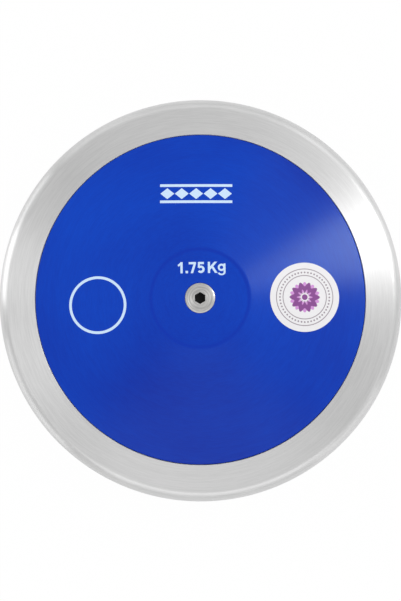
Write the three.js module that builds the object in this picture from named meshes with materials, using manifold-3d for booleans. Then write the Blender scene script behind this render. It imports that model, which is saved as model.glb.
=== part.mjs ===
// A 1.75 kg competition discus: a turned steel rim, two moulded plastic side plates, and the
// screwed core, trim washers, packing, gaskets and pins that the plates hide.
// Millimetres, +Z up. The discus lies flat with its axis on Z and its lower flat on z = 0.

import * as THREE from "three";
import { mergeVertices } from "three/addons/utils/BufferGeometryUtils.js";
import Module from "manifold-3d";

const wasm = await Module();
wasm.setup();

// Overall sizes of the discus
const discusDiameter = 211;
const centreThickness = 42;
const flatDiameter = 52;
const edgeRadius = 6;

// Fits between pieces
const seatGap = 0.05;
const slideGap = 0.15;
const cutOverrun = 1;

// Steel rim
const rimFaceWidth = 19.2;
const mouthChamfer = 0.25;
const flangeWidth = 11;
const flangeThickness = 5;
const flangeChamfer = 0.8;
const rootRadius = 0.8;

// Rubber gaskets between the rim's flange and the plates
const gasketThickness = 1;
const gasketInset = 0.7;

// Moulded side plates
const plateEdgeGap = 0.15;
const plateEdgeChamfer = 0.3;
const plateWall = 3.2;
const skirtWall = 3.2;
const skirtChamfer = 1.2;
const bossDiameter = 34;
const bossThickness = 8;
const ribCount = 12;
const ribThickness = 2;
const ribStep = 0.6;
const ringRibShare = 0.5;

// Locating pins through the flange
const pinCount = 4;
const pinDiameter = 4;
const pinReach = 3.4;
const pinSideGap = 0.1;
const pinEndGap = 0.3;
const pinChamfer = 0.4;
const pinBossWall = 2;

// Countersunk centre screws
const screwDiameter = 8;
const headDiameter = 15.6;
const headLand = 0.3;
const headSink = 0.15;
const screwTipGap = 0.85;
const screwChamfer = 0.9;
const socketAcrossFlats = 5;
const socketDepth = 3;
const socketPoint = 0.8;
const screwHoleGap = 0.2;
const threadGap = 0.1;

// Threaded core
const coreDiameter = 18;
const collarDiameter = 26;
const collarThickness = 4;
const spigotDiameter = 13;
const spigotHeight = 1.8;
const coreChamfer = 0.5;

// Trim washers and rubber packing rings
const washersPerSide = 2;
const washerDiameter = 42;
const washerThickness = 2.1;
const packingDiameter = 30;

// Round adhesive label on the upper plate
const labelDiameter = 36;
const labelThickness = 0.2;
const labelInset = 13.9;
const labelBearing = THREE.MathUtils.degToRad(0.7);

// Facets of the curved surfaces
const largeFacets = 60;
const smallFacets = 30;
const pinFacets = 12;
const edgeSteps = 5;
const rootSteps = 2;

// Sizes worked out from those above
const discusRadius = discusDiameter / 2;
const halfThickness = centreThickness / 2;
const flatRadius = flatDiameter / 2;
const edgeCentre = discusRadius - edgeRadius;
const mouthRadius = discusRadius - rimFaceWidth;
const flangeHalf = flangeThickness / 2;
const flangeBore = mouthRadius - flangeWidth;
const gasketBottom = flangeHalf + seatGap;
const gasketTop = gasketBottom + gasketThickness;
const skirtBottom = gasketTop + seatGap;
const plateRadius = mouthRadius - plateEdgeGap;
const skirtInner = plateRadius - skirtWall;
const bossRadius = bossDiameter / 2;
const bossBottom = halfThickness - bossThickness;
const screwRadius = screwDiameter / 2;
const headRadius = headDiameter / 2;
const coreRadius = coreDiameter / 2;
const coreEnd = bossBottom - seatGap;
const collarHalf = collarThickness / 2;
const spigotRadius = spigotDiameter / 2;
const pinRadius = pinDiameter / 2;
const pinCircle = (flangeBore + skirtInner) / 2;
const pinEnd = skirtBottom + pinReach;

// The sides taper in a straight line that meets the rounded edge as a tangent.
const taperRun = edgeCentre - flatRadius;
const taperAngle =
  Math.atan2(halfThickness, taperRun) - Math.asin(edgeRadius / Math.hypot(halfThickness, taperRun));
const taperSlope = Math.tan(taperAngle);
const wallDrop = plateWall / Math.cos(taperAngle);

// Height of the discus's outer surface above its middle plane at a radius on the taper.
function sideHeight(radius) {
  return halfThickness - (radius - flatRadius) * taperSlope;
}

// The radius at which a surface a given depth under the side turns from flat to taper.
function flatRadiusUnder(depth) {
  return flatRadius - depth * Math.tan(taperAngle / 2);
}

// Points of an arc from one angle to another, as [radius, height] pairs.
function arcPoints(centre, radius, fromAngle, toAngle, steps) {
  const points = [];
  for (let i = 0; i <= steps; i++) {
    const angle = fromAngle + ((toAngle - fromAngle) * i) / steps;
    points.push([centre[0] + radius * Math.cos(angle), centre[1] + radius * Math.sin(angle)]);
  }
  return points;
}

// The same outline below the middle plane, in the order that continues it.
function mirrored(points) {
  return points.map(([radius, height]) => [radius, -height]).reverse();
}

// A closed outline of [radius, height] pairs turned round the Z axis.
function turned(outline, facets) {
  const points = [...outline, outline[0]].map(([radius, height]) => new THREE.Vector2(radius, height));
  return new THREE.LatheGeometry(points, facets).rotateX(Math.PI / 2);
}

// An upright cylinder that stands on a height.
function post(radius, bottom, top, facets) {
  const middle = (bottom + top) / 2;
  return new THREE.CylinderGeometry(radius, radius, top - bottom, facets)
    .rotateX(Math.PI / 2)
    .translate(0, 0, middle);
}

// A closed geometry as a solid that can be joined and cut.
function toSolid(geometry) {
  const bare = geometry.clone();
  bare.deleteAttribute("normal");
  bare.deleteAttribute("uv");
  const merged = mergeVertices(bare);
  const mesh = new wasm.Mesh({
    numProp: 3,
    vertProperties: merged.attributes.position.array,
    triVerts: new Uint32Array(merged.index.array),
  });
  return new wasm.Manifold(mesh);
}

// A solid back as a geometry.
function toGeometry(solid) {
  const mesh = solid.getMesh();
  const geometry = new THREE.BufferGeometry();
  geometry.setAttribute("position", new THREE.BufferAttribute(new Float32Array(mesh.vertProperties), 3));
  geometry.setIndex(new THREE.BufferAttribute(new Uint32Array(mesh.triVerts), 1));
  geometry.computeVertexNormals();
  return geometry;
}

// Copies of a geometry spaced evenly round the Z axis from a starting angle.
function roundAxis(geometry, count, startAngle) {
  const copies = [];
  for (let i = 0; i < count; i++) {
    const angle = startAngle + (i * 2 * Math.PI) / count;
    copies.push(toSolid(geometry.clone().rotateZ(angle)));
  }
  return copies;
}

// Steel rim: a rounded edge, two straight flanks, and a flange inside that carries both plates.
function rimGeometry() {
  const edgeEnd = Math.PI / 2 - taperAngle;
  const edge = arcPoints([edgeCentre, 0], edgeRadius, 0, edgeEnd, edgeSteps);
  const mouthTop = sideHeight(mouthRadius + mouthChamfer);
  const rootCentre = [mouthRadius - rootRadius, flangeHalf + rootRadius];
  const root = arcPoints(rootCentre, rootRadius, 0, -Math.PI / 2, rootSteps);
  const upper = [
    ...edge,
    [mouthRadius + mouthChamfer, mouthTop],
    [mouthRadius, mouthTop - mouthChamfer],
    ...root,
    [flangeBore + flangeChamfer, flangeHalf],
    [flangeBore, flangeHalf - flangeChamfer],
  ];
  const outline = [...upper, ...mirrored(upper.slice(1))];
  const holeReach = flangeHalf + cutOverrun;
  const hole = post(pinRadius + pinSideGap, -holeReach, holeReach, pinFacets).translate(pinCircle, 0, 0);
  let solid = toSolid(turned(outline, largeFacets));
  for (const cut of roundAxis(hole, pinCount, Math.PI / pinCount)) {
    solid = solid.subtract(cut);
  }
  return toGeometry(solid);
}

// The plate's shell with its countersink, boss and skirt, before its ribs.
function plateShell() {
  const holeRadius = screwRadius + screwHoleGap;
  const sinkRadius = headRadius + slideGap;
  const sinkDepth = headSink + headLand + sinkRadius - holeRadius;
  const counterboreRadius = spigotRadius + slideGap;
  const counterboreTop = bossBottom + spigotHeight + slideGap;
  const underFlat = halfThickness - plateWall;
  const edgeTop = sideHeight(plateRadius - plateEdgeChamfer);
  return turned(
    [
      [sinkRadius, halfThickness],
      [sinkRadius, halfThickness - headSink - headLand],
      [holeRadius, halfThickness - sinkDepth],
      [holeRadius, counterboreTop],
      [counterboreRadius, counterboreTop],
      [counterboreRadius, bossBottom],
      [bossRadius, bossBottom],
      [bossRadius, underFlat],
      [flatRadiusUnder(plateWall), underFlat],
      [skirtInner, sideHeight(skirtInner) - wallDrop],
      [skirtInner, skirtBottom],
      [plateRadius - skirtChamfer, skirtBottom],
      [plateRadius, skirtBottom + skirtChamfer],
      [plateRadius, edgeTop - plateEdgeChamfer],
      [plateRadius - plateEdgeChamfer, edgeTop],
      [flatRadius, halfThickness],
    ],
    largeFacets,
  );
}

// The space under the middle of the plate's wall, which trims the ribs and the pin bosses.
function ribSpace() {
  const halfWall = plateWall / 2;
  const halfDrop = wallDrop / 2;
  const inner = bossRadius - ribStep;
  const outer = plateRadius - skirtWall / 2;
  return turned(
    [
      [inner, halfThickness - halfWall],
      [inner, bossBottom + ribStep],
      [skirtInner, skirtBottom + ribStep],
      [outer, skirtBottom + ribStep],
      [outer, sideHeight(outer) - halfDrop],
      [flatRadiusUnder(halfWall), halfThickness - halfWall],
    ],
    largeFacets,
  );
}

// Radial ribs, and a ring rib across them, that stiffen the shell from inside.
function plateRibs() {
  const ribInner = bossRadius - ribStep;
  const ribLength = plateRadius - ribInner;
  const rib = new THREE.BoxGeometry(ribLength, ribThickness, halfThickness).translate(
    ribInner + ribLength / 2,
    0,
    halfThickness / 2,
  );
  const middle = THREE.MathUtils.lerp(bossRadius, skirtInner, ringRibShare);
  const inner = middle - ribThickness / 2;
  const outer = middle + ribThickness / 2;
  const ring = turned([[inner, 0], [outer, 0], [outer, halfThickness], [inner, halfThickness]], largeFacets);
  return [...roundAxis(rib, ribCount, 0), toSolid(ring)];
}

// Side plate: shell, ribs inside it, and a bored boss for each locating pin.
function sidePlateGeometry() {
  const pinBoss = post(pinRadius + pinBossWall, 0, halfThickness, pinFacets).translate(pinCircle, 0, 0);
  const pinAngle = Math.PI / pinCount;
  const inside = [...plateRibs(), ...roundAxis(pinBoss, pinCount, pinAngle)].reduce((a, b) => a.add(b));
  const socketTop = pinEnd + pinEndGap;
  const socket = post(pinRadius + pinSideGap, 0, socketTop, pinFacets).translate(pinCircle, 0, 0);
  let plate = toSolid(plateShell()).add(inside.intersect(toSolid(ribSpace())));
  for (const cut of roundAxis(socket, pinCount, pinAngle)) {
    plate = plate.subtract(cut);
  }
  return toGeometry(plate);
}

// Gasket: a flat rubber ring on the flange, holed for the pins.
function gasketGeometry() {
  const inner = flangeBore + gasketInset;
  const outer = mouthRadius - skirtChamfer;
  const ring = turned(
    [[inner, gasketBottom], [outer, gasketBottom], [outer, gasketTop], [inner, gasketTop]],
    largeFacets,
  );
  const hole = post(pinRadius + slideGap, gasketBottom - cutOverrun, gasketTop + cutOverrun, pinFacets);
  hole.translate(pinCircle, 0, 0);
  let solid = toSolid(ring);
  for (const cut of roundAxis(hole, pinCount, Math.PI / pinCount)) {
    solid = solid.subtract(cut);
  }
  return toGeometry(solid);
}

// Locating pin: a plain dowel with chamfered ends that keys both plates to the rim.
function pinGeometry() {
  const upper = [
    [pinRadius, pinEnd - pinChamfer],
    [pinRadius - pinChamfer, pinEnd],
    [0, pinEnd],
  ];
  return turned([...upper, ...mirrored(upper)], pinFacets);
}

// Core: a steel barrel threaded for both screws, with a collar for the washers and a spigot at
// each end that centres a plate.
function coreGeometry() {
  const boreRadius = screwRadius;
  const upper = [
    [collarDiameter / 2, 0],
    [collarDiameter / 2, collarHalf],
    [coreRadius, collarHalf],
    [coreRadius, coreEnd - coreChamfer],
    [coreRadius - coreChamfer, coreEnd],
    [spigotRadius, coreEnd],
    [spigotRadius, coreEnd + spigotHeight - coreChamfer],
    [spigotRadius - coreChamfer, coreEnd + spigotHeight],
    [boreRadius + coreChamfer, coreEnd + spigotHeight],
    [boreRadius, coreEnd + spigotHeight - coreChamfer],
  ];
  return turned([...upper, ...mirrored(upper.slice(1))], smallFacets);
}

// Centre screw: a countersunk head with a hexagon socket, its crown towards +Z.
function screwGeometry() {
  const top = halfThickness - headSink;
  const landBottom = top - headLand;
  const shankRadius = screwRadius - threadGap;
  const neck = landBottom - (headRadius - shankRadius);
  const blank = turned(
    [
      [0, screwTipGap],
      [shankRadius - screwChamfer, screwTipGap],
      [shankRadius, screwTipGap + screwChamfer],
      [shankRadius, neck],
      [headRadius, landBottom],
      [headRadius, top],
      [0, top],
    ],
    smallFacets,
  );
  const cornerRadius = socketAcrossFlats / Math.sqrt(3);
  const socketFloor = top - socketDepth;
  const hexagon = post(cornerRadius, socketFloor, top + cutOverrun, 6);
  const point = new THREE.ConeGeometry(socketAcrossFlats / 2, socketPoint, smallFacets)
    .rotateX(-Math.PI / 2)
    .translate(0, 0, socketFloor - socketPoint / 2);
  return toGeometry(toSolid(blank).subtract(toSolid(hexagon)).subtract(toSolid(point)));
}

// Flat ring between two radii and two heights.
function ringGeometry(inner, outer, bottom, top) {
  return turned([[inner, bottom], [outer, bottom], [outer, top], [inner, top]], smallFacets);
}

// Height of the underside of a trim washer, counted outwards from the collar.
function washerBottom(index) {
  return collarHalf + seatGap + index * (washerThickness + seatGap);
}

// Trim washer: one of the thin steel rings that bring the discus to its weight.
function washerGeometry(index) {
  const bottom = washerBottom(index);
  return ringGeometry(coreRadius + slideGap, washerDiameter / 2, bottom, bottom + washerThickness);
}

// Packing ring: rubber that fills the room left between the washers and the plate's boss.
function packingGeometry() {
  const bottom = washerBottom(washersPerSide);
  return ringGeometry(coreRadius + slideGap, packingDiameter / 2, bottom, bossBottom - seatGap);
}

// Label: a thin round disc that lies on the taper of the upper plate.
function labelGeometry() {
  const radius = labelDiameter / 2;
  const centreRadius = plateRadius - labelInset - radius;
  const liftOf = (rise) => rise / Math.cos(taperAngle);
  const bottom = liftOf(seatGap);
  const top = liftOf(seatGap + labelThickness);
  const skin = turned(
    [
      [flatRadius, halfThickness + bottom],
      [plateRadius, sideHeight(plateRadius) + bottom],
      [plateRadius, sideHeight(plateRadius) + top],
      [flatRadius, halfThickness + top],
    ],
    largeFacets,
  );
  const cutter = post(radius, 0, halfThickness + cutOverrun, smallFacets)
    .translate(centreRadius, 0, 0)
    .rotateZ(labelBearing);
  return toGeometry(toSolid(skin).intersect(toSolid(cutter)));
}

// Finishes of the pieces
const rimSteel = new THREE.MeshStandardMaterial({ color: 0xcfcfcc, metalness: 1, roughness: 0.32 });
const blueMoulding = new THREE.MeshStandardMaterial({ color: 0x1a43bd, metalness: 0, roughness: 0.38 });
const screwSteel = new THREE.MeshStandardMaterial({ color: 0xc4c2bb, metalness: 1, roughness: 0.4 });
const coreSteel = new THREE.MeshStandardMaterial({ color: 0xb9bab8, metalness: 1, roughness: 0.45 });
const washerSteel = new THREE.MeshStandardMaterial({ color: 0xaeb1b4, metalness: 1, roughness: 0.35 });
const pinSteel = new THREE.MeshStandardMaterial({ color: 0x9b9da0, metalness: 1, roughness: 0.3 });
const blackRubber = new THREE.MeshStandardMaterial({ color: 0x202124, metalness: 0, roughness: 0.8 });
const whiteVinyl = new THREE.MeshStandardMaterial({ color: 0xf0eef0, metalness: 0, roughness: 0.5 });

// A named piece of the assembly.
function piece(name, geometry, material) {
  const mesh = new THREE.Mesh(geometry, material);
  mesh.name = name;
  return mesh;
}

// The pieces of one side. Both sides are alike, so the lower one is this one turned over.
function sideGroup(side) {
  const group = new THREE.Group();
  group.add(piece(`${side}_side_plate`, sidePlateGeometry(), blueMoulding));
  group.add(piece(`${side}_rim_gasket`, gasketGeometry(), blackRubber));
  group.add(piece(`${side}_centre_screw`, screwGeometry(), screwSteel));
  for (let i = 0; i < washersPerSide; i++) {
    group.add(piece(`${side}_trim_washer_${i + 1}`, washerGeometry(i), washerSteel));
  }
  group.add(piece(`${side}_packing_ring`, packingGeometry(), blackRubber));
  return group;
}

// The pins stand round the flange.
function pinGroup() {
  const group = new THREE.Group();
  for (let i = 0; i < pinCount; i++) {
    const pin = piece(`locating_pin_${i + 1}`, pinGeometry(), pinSteel);
    const angle = ((i + 0.5) * 2 * Math.PI) / pinCount;
    pin.position.set(pinCircle * Math.cos(angle), pinCircle * Math.sin(angle), 0);
    pin.rotation.z = angle;
    group.add(pin);
  }
  return group;
}

const discus = new THREE.Group();
const assembly = new THREE.Group();
assembly.position.z = halfThickness;
assembly.add(piece("steel_rim", rimGeometry(), rimSteel));
assembly.add(piece("threaded_core", coreGeometry(), coreSteel));
assembly.add(pinGroup());

const upperSide = sideGroup("upper");
upperSide.add(piece("round_label", labelGeometry(), whiteVinyl));
const lowerSide = sideGroup("lower");
lowerSide.rotation.x = Math.PI;
assembly.add(upperSide, lowerSide);
discus.add(assembly);

export default discus;
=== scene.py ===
import math

import bmesh
import bpy
from mathutils import Matrix, Vector


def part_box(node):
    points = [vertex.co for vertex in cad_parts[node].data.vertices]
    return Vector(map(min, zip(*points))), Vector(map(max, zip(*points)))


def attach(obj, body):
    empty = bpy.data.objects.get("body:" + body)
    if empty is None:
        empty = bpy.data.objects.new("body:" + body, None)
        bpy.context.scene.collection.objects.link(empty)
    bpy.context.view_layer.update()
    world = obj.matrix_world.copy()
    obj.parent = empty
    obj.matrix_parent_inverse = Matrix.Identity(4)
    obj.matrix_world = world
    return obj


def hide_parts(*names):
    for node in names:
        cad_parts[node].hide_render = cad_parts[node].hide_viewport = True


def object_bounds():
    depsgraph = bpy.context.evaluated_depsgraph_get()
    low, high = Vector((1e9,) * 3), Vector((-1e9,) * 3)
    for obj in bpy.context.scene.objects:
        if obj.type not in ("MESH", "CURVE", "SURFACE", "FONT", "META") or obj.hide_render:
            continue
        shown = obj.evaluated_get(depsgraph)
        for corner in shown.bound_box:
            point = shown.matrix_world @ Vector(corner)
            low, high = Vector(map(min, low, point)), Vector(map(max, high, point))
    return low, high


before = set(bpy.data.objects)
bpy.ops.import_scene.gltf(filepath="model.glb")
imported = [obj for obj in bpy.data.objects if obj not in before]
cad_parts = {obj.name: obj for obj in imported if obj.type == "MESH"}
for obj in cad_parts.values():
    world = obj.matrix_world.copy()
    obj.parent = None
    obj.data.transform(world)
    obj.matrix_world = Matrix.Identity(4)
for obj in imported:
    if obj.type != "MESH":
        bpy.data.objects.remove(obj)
solid_low, solid_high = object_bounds()
MM = 0.001

# The steel rim
# A ring turned from a steel bar, with a rounded edge, two straight flanks and a flange inside
# that both plates are clamped onto. It is brushed on the lathe and left bare.
_, rim_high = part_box("steel_rim")
plate_low, plate_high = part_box("upper_side_plate")
PIN_COUNT = 4
pin_low, pin_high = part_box("locating_pin_1")
EDGE_RADIUS = 6 * MM
FLAT_RADIUS = 26 * MM
MOUTH_GAP = 0.15 * MM
MOUTH_CHAMFER = 0.25 * MM
FLANGE_WIDTH = 11 * MM
FLANGE_HALF = 2.5 * MM
FLANGE_CHAMFER = 0.8 * MM
ROOT_RADIUS = 0.8 * MM
PIN_RADIUS = 2 * MM
PIN_SIDE_GAP = 0.1 * MM
MOUTH_SOFTENING = 0.05 * MM
FLANGE_SOFTENING = 0.2 * MM
CUT_OVERRUN = 1 * MM
WELD_DISTANCE = 0.0005 * MM
RIM_STEPS = 360
EDGE_STEPS = 28
SOFT_STEPS = 3
HOLE_FACETS = 48
SHARP_ANGLE = math.radians(32)
half_thickness = solid_high.z / 2
middle = Vector((0, 0, half_thickness))
edge_centre = rim_high.x - EDGE_RADIUS
mouth_radius = plate_high.x + MOUTH_GAP
flange_bore = mouth_radius - FLANGE_WIDTH
pin_circle = Vector(((pin_low.x + pin_high.x) / 2, (pin_low.y + pin_high.y) / 2)).length

# The straight flanks meet the rounded edge as tangents, and run on across the plates.
taper_run = edge_centre - FLAT_RADIUS
edge_share = EDGE_RADIUS / math.hypot(half_thickness, taper_run)
taper_angle = math.atan2(half_thickness, taper_run) - math.asin(edge_share)
taper_slope = math.tan(taper_angle)


def side_height(radius):
    """Height of the side above the middle plane, at a radius on the taper."""
    return half_thickness - (radius - FLAT_RADIUS) * taper_slope


def turned(outline, steps):
    """A closed outline of (radius, height, softening) corners, spun round the discus's axis."""
    shape = bmesh.new()
    corners = [shape.verts.new((radius, 0, height)) for radius, height, _ in outline]
    for start, end in zip(corners, corners[1:] + corners[:1]):
        shape.edges.new((start, end))
    for corner, (_, _, softening) in zip(corners, outline):
        if softening:
            bmesh.ops.bevel(
                shape,
                geom=[corner],
                offset=softening,
                segments=SOFT_STEPS,
                profile=0.5,
                affect="VERTICES",
                material=-1,
            )
    bmesh.ops.spin(
        shape,
        geom=shape.verts[:] + shape.edges[:],
        cent=(0, 0, 0),
        axis=(0, 0, 1),
        angle=math.tau,
        steps=steps,
        use_merge=True,
    )
    bmesh.ops.remove_doubles(shape, verts=shape.verts, dist=WELD_DISTANCE)
    bmesh.ops.recalc_face_normals(shape, faces=shape.faces)
    return shape


def mirrored(outline):
    """The same corners under the middle plane, in the order that goes on from the outline."""
    return [(radius, -height, softening) for radius, height, softening in reversed(outline)]


def cylinder(radius, bottom, top, facets, top_radius=None):
    """An upright closed cylinder or cone between two heights."""
    shape = bmesh.new()
    bmesh.ops.create_cone(
        shape,
        cap_ends=True,
        segments=facets,
        radius1=radius,
        radius2=radius if top_radius is None else top_radius,
        depth=top - bottom,
        matrix=Matrix.Translation((0, 0, (bottom + top) / 2)),
    )
    return shape


def as_mesh(shape):
    """A shape as a mesh, which ends the shape."""
    mesh = bpy.data.meshes.new("shape")
    shape.to_mesh(mesh)
    shape.free()
    return mesh


def round_axis(shape, count, first_angle):
    """Copies of a shape, spaced evenly round the axis, as one shape."""
    source = as_mesh(shape)
    ring = bmesh.new()
    for i in range(count):
        turn = Matrix.Rotation(first_angle + i * math.tau / count, 4, "Z")
        copied = source.copy()
        copied.transform(turn)
        ring.from_mesh(copied)
    return ring


def worked(shape, tool, operation):
    """The shape once a closed tool shape has been joined to it, cut from it or met with it."""
    blank = bpy.data.objects.new("blank", as_mesh(shape))
    cutter = bpy.data.objects.new("cutter", as_mesh(tool))
    for item in (blank, cutter):
        bpy.context.scene.collection.objects.link(item)
    work = blank.modifiers.new("work", "BOOLEAN")
    work.object = cutter
    work.operation = operation
    work.solver = "EXACT"
    finished = blank.evaluated_get(bpy.context.evaluated_depsgraph_get())
    result = bmesh.new()
    result.from_mesh(finished.to_mesh())
    for item in (blank, cutter):
        bpy.data.objects.remove(item)
    return result


def as_piece(name, shape, finishes, slot, *nodes):
    """Makes a finished piece on the discus's body, sharp at its real edges and flat on its flats."""
    for edge in shape.edges:
        edge.smooth = edge.calc_face_angle(0) < SHARP_ANGLE
    for face in shape.faces:
        face.smooth = True
    piece = bpy.data.objects.new(name, as_mesh(shape))
    bpy.context.scene.collection.objects.link(piece)
    for finish in finishes:
        piece.data.materials.append(finish.material)
    shading = piece.modifiers.new("shading", "WEIGHTED_NORMAL")
    shading.keep_sharp = True
    piece.data = bpy.data.meshes.new_from_object(
        piece.evaluated_get(bpy.context.evaluated_depsgraph_get())
    )
    piece.modifiers.clear()
    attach(piece, "root")
    if nodes:
        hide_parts(*nodes)


def raised(shape, matrix=Matrix.Identity(4)):
    """A shape drawn about the middle plane, placed by a matrix and lifted onto the floor."""
    bmesh.ops.transform(shape, matrix=Matrix.Translation(middle) @ matrix, verts=shape.verts)
    return shape


class Wire:
    """One output of a finish's nodes. Arithmetic on it adds Math nodes."""

    def __init__(self, finish, socket):
        self.finish = finish
        self.socket = socket

    def math(self, operation, *others):
        """A Math node on this value, and on any others after it."""
        return self.finish.node("ShaderNodeMath", {"operation": operation}, self, *others)

    def __add__(self, other):
        return self.math("ADD", other)

    def __sub__(self, other):
        return self.math("SUBTRACT", other)

    def __rsub__(self, other):
        return self.finish.node("ShaderNodeMath", {"operation": "SUBTRACT"}, other, self)

    def __mul__(self, other):
        return self.math("MULTIPLY", other)

    def __truediv__(self, other):
        return self.math("DIVIDE", other)

    def __rtruediv__(self, other):
        return self.finish.node("ShaderNodeMath", {"operation": "DIVIDE"}, other, self)

    __radd__ = __add__
    __rmul__ = __mul__


class Finish:
    """A surface finish: one material with one main shader."""

    def __init__(self, name, constants):
        self.material = bpy.data.materials.new(name)
        self.material.use_nodes = True
        self.tree = self.material.node_tree
        self.shader = self.tree.nodes["Principled BSDF"]
        for socket, value in constants.items():
            self.shader.inputs[socket].default_value = value

    def connect(self, socket, value):
        """Links a socket to a wire, or sets it to a plain value."""
        if isinstance(value, Wire):
            self.tree.links.new(value.socket, socket)
        else:
            socket.default_value = value

    def node(self, kind, settings, *values, output=0, **named):
        """A node with its settings, then its sockets' values or links. Returns one output."""
        made = self.tree.nodes.new(kind)
        for setting, value in settings.items():
            setattr(made, setting, value)
        for socket, value in zip(made.inputs, values):
            self.connect(socket, value)
        for socket, value in named.items():
            self.connect(made.inputs[socket], value)
        return Wire(self, made.outputs[output])

    def feed(self, socket, value):
        """Drives one socket of the main shader."""
        self.connect(self.shader.inputs[socket], value)

    def place(self):
        """Where the surface is, in millimetres from the discus's axis and floor."""
        spot = self.node("ShaderNodeTexCoord", {}, output="Object")
        spot = self.node("ShaderNodeVectorMath", {"operation": "SCALE"}, spot, Scale=1 / MM)
        return [self.node("ShaderNodeSeparateXYZ", {}, spot, output=i) for i in range(3)]

    def off_axis(self):
        """How far the surface is from the discus's axis, in millimetres."""
        x, y, _ = self.place()
        return (x * x + y * y).math("SQRT")

    def ramp(self, value, start, end):
        """0 up to a start and 1 from an end on, with a smooth rise between."""
        smooth = {"interpolation_type": "SMOOTHSTEP"}
        return self.node("ShaderNodeMapRange", smooth, value, start, end, 0.0, 1.0)

    def noise(self, x, y, z, w=0.0, detail=2.0, rough=0.5):
        """Soft noise from 0 to 1 over four coordinates."""
        spot = self.node("ShaderNodeCombineXYZ", {}, x, y, z)
        return self.node(
            "ShaderNodeTexNoise",
            {"noise_dimensions": "4D"},
            Vector=spot,
            W=w,
            Scale=1.0,
            Detail=detail,
            Roughness=rough,
        )

    def mixed(self, factor, first, second):
        """A colour between two colours."""
        mix = self.tree.nodes.new("ShaderNodeMix")
        mix.data_type = "RGBA"
        self.connect(mix.inputs[0], factor)
        self.connect(mix.inputs[6], first)
        self.connect(mix.inputs[7], second)
        return Wire(self, mix.outputs[2])

    def bumped(self, height, distance):
        """The surface's normal with a relief of a real height."""
        return self.node("ShaderNodeBump", {}, Strength=1.0, Distance=distance, Height=height)


def lathe_lines(finish, lines_per_mm, arcs):
    """Noise drawn out round the axis, as a cloth or a tool leaves its lines on the lathe.

    More lines a millimetre are finer, and more arcs break them up into shorter ones."""
    x, y, z = finish.place()
    radius = finish.off_axis()
    return finish.noise(
        radius * lines_per_mm,
        z * lines_per_mm,
        x / radius * arcs,
        y / radius * arcs,
        detail=4.0,
        rough=0.6,
    )


RIM_STEEL = (0.87, 0.87, 0.87, 1)
RIM_STEEL_DULL = (0.66, 0.66, 0.66, 1)
FINE_BRUSHING = (1.6, 8.0)
BROAD_BRUSHING = (0.4, 1.2)
LINE_CONTRAST = (0.35, 0.65)
FINE_SHARE = 0.3
BROAD_SHARE = 0.5
BRIGHT_SHARE = 0.1
RIM_ROUGHNESS = 0.38
LINE_ROUGHNESS = 0.16
EDGE_POLISH = 0.15
EDGE_POLISH_START = 100.2
EDGE_POLISH_END = 101.4
BRUSHING_RELIEF = 0.004 * MM
ROUND_BRUSHING = 0.25
rim_steel = Finish(
    "brushed_rim_steel",
    {"Metallic": 1.0, "Anisotropic": 0.9, "Anisotropic Rotation": ROUND_BRUSHING},
)
fine_lines = lathe_lines(rim_steel, *FINE_BRUSHING)
broad_lines = lathe_lines(rim_steel, *BROAD_BRUSHING)
clear_fine_lines = rim_steel.ramp(fine_lines, *LINE_CONTRAST)
brushing = clear_fine_lines * FINE_SHARE + broad_lines * BROAD_SHARE + BRIGHT_SHARE
polished_edge = rim_steel.ramp(rim_steel.off_axis(), EDGE_POLISH_START, EDGE_POLISH_END)
rim_roughness = fine_lines * LINE_ROUGHNESS + RIM_ROUGHNESS - polished_edge * EDGE_POLISH
rim_steel.feed("Base Color", rim_steel.mixed(brushing, RIM_STEEL_DULL, RIM_STEEL))
rim_steel.feed("Roughness", rim_roughness)
rim_steel.feed("Normal", rim_steel.bumped(fine_lines, BRUSHING_RELIEF))

edge_turn = math.pi / 2 - taper_angle
edge_angles = [i / EDGE_STEPS * edge_turn for i in range(EDGE_STEPS + 1)]
edge_points = [
    (edge_centre + EDGE_RADIUS * math.cos(angle), EDGE_RADIUS * math.sin(angle), 0)
    for angle in edge_angles
]
mouth_top = side_height(mouth_radius + MOUTH_CHAMFER)
rim_outline = edge_points + [
    (mouth_radius + MOUTH_CHAMFER, mouth_top, MOUTH_SOFTENING),
    (mouth_radius, mouth_top - MOUTH_CHAMFER, MOUTH_SOFTENING),
    (mouth_radius, FLANGE_HALF, ROOT_RADIUS),
    (flange_bore + FLANGE_CHAMFER, FLANGE_HALF, FLANGE_SOFTENING),
    (flange_bore, FLANGE_HALF - FLANGE_CHAMFER, FLANGE_SOFTENING),
]
rim_shape = turned(rim_outline + mirrored(rim_outline[1:]), RIM_STEPS)
flange_reach = FLANGE_HALF + CUT_OVERRUN
pin_hole = cylinder(PIN_RADIUS + PIN_SIDE_GAP, -flange_reach, flange_reach, HOLE_FACETS)
bmesh.ops.translate(pin_hole, vec=(pin_circle, 0, 0), verts=pin_hole.verts)
rim_shape = worked(rim_shape, round_axis(pin_hole, PIN_COUNT, math.pi / PIN_COUNT), "DIFFERENCE")
as_piece("turned_rim", raised(rim_shape), [rim_steel], "rim_steel", "steel_rim")

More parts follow.
